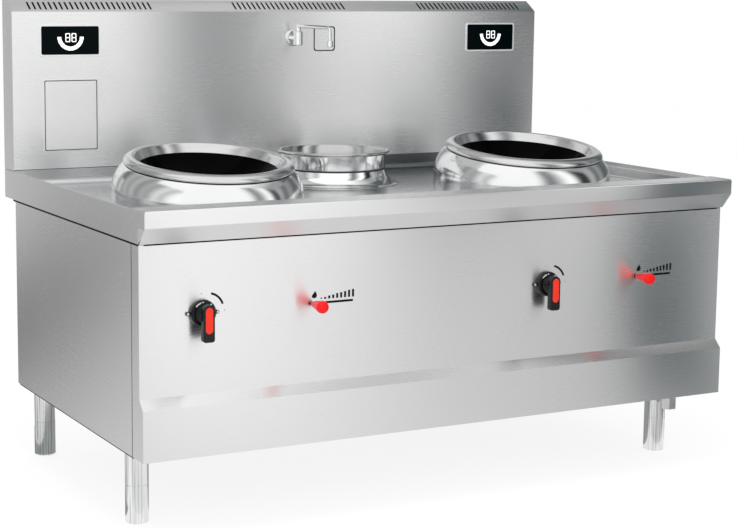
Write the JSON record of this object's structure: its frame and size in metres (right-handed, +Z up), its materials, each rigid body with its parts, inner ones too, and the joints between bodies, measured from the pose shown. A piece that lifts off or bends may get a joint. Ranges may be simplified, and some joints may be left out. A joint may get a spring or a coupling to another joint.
{
  "type": "wok range",
  "caption": "Free-standing stainless wok range with two tilted induction bowls, a lift-out tail pot, a backsplash with displays and a swinging faucet, slide levers and rotary isolators.",
  "frame": {"origin": "centre of the bounding box at floor level", "axes": "+X to the range's right as the cook faces it, +Y from the cook to the backsplash, +Z up"},
  "size_m": [1.8, 1.128, 1.329],
  "materials": {
    "stainless": "satin stainless sheet",
    "polished_steel": "polished stainless, spun and turned",
    "chrome": "bright chrome plate",
    "black_glass": "black, polished and opaque",
    "frame_steel": "grey primer",
    "zinc_steel": "zinc-plated steel",
    "copper": "bright copper",
    "dark_plastic": "matt black",
    "gloss_black": "gloss black",
    "gloss_red": "gloss red",
    "module_case": "plain aluminium sheet"
  },
  "bodies": {
    "range": {"back_panel": "stainless", "backsplash_housing": "stainless", "backsplash_rear_cover": "stainless", "base_plate": "stainless", "basin_floor_centre": "stainless", "basin_floor_left": "stainless", "basin_floor_right": "stainless", "cable_gland": "dark_plastic", "carcass_frame": "frame_steel", "coil_carrier_left": "dark_plastic", "coil_carrier_right": "dark_plastic", "collar_ring_left": "polished_steel", "collar_ring_right": "polished_steel", "display_left": "black_glass", "display_right": "black_glass", "drain_pipe": "polished_steel", "fan_frame_left": "dark_plastic", "fan_frame_right": "dark_plastic", "faucet_body": "chrome", "front_panel": "stainless", "generator_left": "module_case", "generator_right": "module_case", "induction_coil_left": "copper", "induction_coil_right": "copper", "isolator_base_left": "dark_plastic", "isolator_base_right": "dark_plastic", "isolator_body_left": "dark_plastic", "isolator_body_right": "dark_plastic", "isolator_screws": "polished_steel", "leg_back_left": "stainless", "leg_back_right": "stainless", "leg_front_left": "stainless", "leg_front_right": "stainless", "lever_guide_left": "zinc_steel", "lever_guide_right": "zinc_steel", "side_panel_left": "stainless", "side_panel_right": "stainless", "tail_collar": "polished_steel", "water_pipe": "copper", "wok_bowl_left": "black_glass", "wok_bowl_right": "black_glass", "wok_collar_left": "polished_steel", "wok_collar_right": "polished_steel", "worktop_rim": "stainless"},
    "isolator_left": {"isolator_handle_left": "gloss_black", "handle_inlay_left": "gloss_red"},
    "lever_left": {"power_knob_left": "gloss_red", "lever_blade_left": "zinc_steel"},
    "fan_left": {"fan_rotor_left": "dark_plastic"},
    "foot_front_left": {"foot_front_left": "stainless"},
    "foot_back_left": {"foot_back_left": "stainless"},
    "isolator_right": {"isolator_handle_right": "gloss_black", "handle_inlay_right": "gloss_red"},
    "lever_right": {"power_knob_right": "gloss_red", "lever_blade_right": "zinc_steel"},
    "fan_right": {"fan_rotor_right": "dark_plastic"},
    "foot_front_right": {"foot_front_right": "stainless"},
    "foot_back_right": {"foot_back_right": "stainless"},
    "spout": {"faucet_spout": "chrome"},
    "pot": {"tail_pot": "polished_steel"}
  },
  "joints": [
    {"name": "isolator_turn_left", "type": "hinge", "parent": "range", "child": "isolator_left", "pos_m": [-0.731, -0.493, 0.572], "axis": [0, 1, 0], "range_deg": [0, 90]},
    {"name": "power_slide_left", "type": "slide", "parent": "range", "child": "lever_left", "axis": [1, 0, 0], "range_m": [0, 0.11]},
    {"name": "fan_spin_left", "type": "hinge", "parent": "range", "child": "fan_left", "pos_m": [-0.515, 0.4165, 0.3445], "axis": [0, 1, 0], "continuous": true},
    {"name": "foot_screw_front_left", "type": "slide", "parent": "range", "child": "foot_front_left", "axis": [0, 0, -1], "range_m": [0, 0.03]},
    {"name": "foot_screw_back_left", "type": "slide", "parent": "range", "child": "foot_back_left", "axis": [0, 0, -1], "range_m": [0, 0.03]},
    {"name": "isolator_turn_right", "type": "hinge", "parent": "range", "child": "isolator_right", "pos_m": [0.299, -0.493, 0.572], "axis": [0, 1, 0], "range_deg": [0, 90]},
    {"name": "power_slide_right", "type": "slide", "parent": "range", "child": "lever_right", "axis": [1, 0, 0], "range_m": [0, 0.11]},
    {"name": "fan_spin_right", "type": "hinge", "parent": "range", "child": "fan_right", "pos_m": [0.515, 0.4165, 0.3445], "axis": [0, 1, 0], "continuous": true},
    {"name": "foot_screw_front_right", "type": "slide", "parent": "range", "child": "foot_front_right", "axis": [0, 0, -1], "range_m": [0, 0.03]},
    {"name": "foot_screw_back_right", "type": "slide", "parent": "range", "child": "foot_back_right", "axis": [0, 0, -1], "range_m": [0, 0.03]},
    {"name": "spout_swing", "type": "hinge", "parent": "range", "child": "spout", "pos_m": [0, 0.436, 1.2355], "axis": [0, 0, 1], "range_deg": [-90, 90]},
    {"name": "pot_lift", "type": "slide", "parent": "range", "child": "pot", "axis": [0, 0, 1], "range_m": [0, 0.25]}
  ]
}
